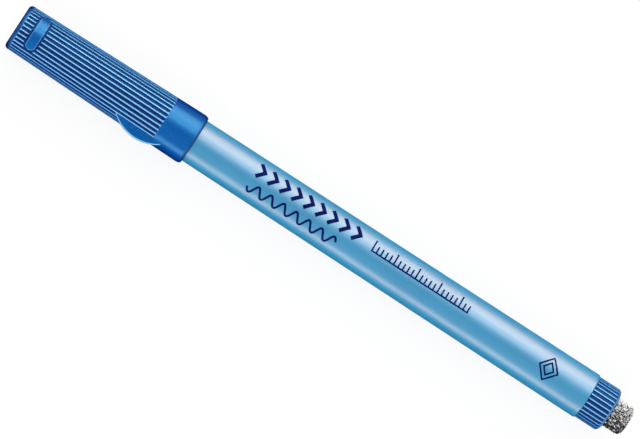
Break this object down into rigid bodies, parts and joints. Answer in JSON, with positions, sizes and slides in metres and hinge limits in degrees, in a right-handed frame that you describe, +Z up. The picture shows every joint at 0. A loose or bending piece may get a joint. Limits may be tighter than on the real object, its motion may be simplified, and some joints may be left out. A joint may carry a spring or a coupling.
{
  "type": "overhead projector marker",
  "caption": "Slim fine-tip marker with a fluted push-on cap, an anti-roll lug, a round barrel and a felt eraser in a ribbed end plug.",
  "frame": {"origin": "centre of the cap's closed flat end face, on the pen's axis", "axes": "+X along the pen from the closed end of the cap to the felt, +Z up; the pen lies on its side and leans on the cap's anti-roll lug, which points down towards -Y"},
  "size_m": [0.141, 0.012, 0.0107],
  "materials": {
    "cap_blue": "moulded deep blue plastic, satin gloss",
    "seal_white": "soft natural-white moulded plastic",
    "barrel_blue": "light blue pearly satin plastic",
    "nib_white": "white moulded plastic",
    "nib_fibre": "ink-soaked bonded fibre",
    "ink_fibre": "ink-soaked fibre bundle",
    "clear_film": "thin clear plastic film",
    "felt_grey": "dense speckled grey felt"
  },
  "bodies": {
    "pen": {"barrel": "barrel_blue", "nose_section": "cap_blue", "nib_sleeve": "nib_white", "nib_core": "nib_fibre", "ink_reservoir": "ink_fibre", "reservoir_film": "clear_film", "end_plug": "cap_blue", "eraser_felt": "felt_grey"},
    "cap": {"cap_shell": "cap_blue", "cap_seal_cup": "seal_white"}
  },
  "joints": [
    {"name": "cap_slide", "type": "slide", "parent": "pen", "child": "cap", "axis": [-1, 0, 0], "range_m": [0, 0.045]}
  ]
}
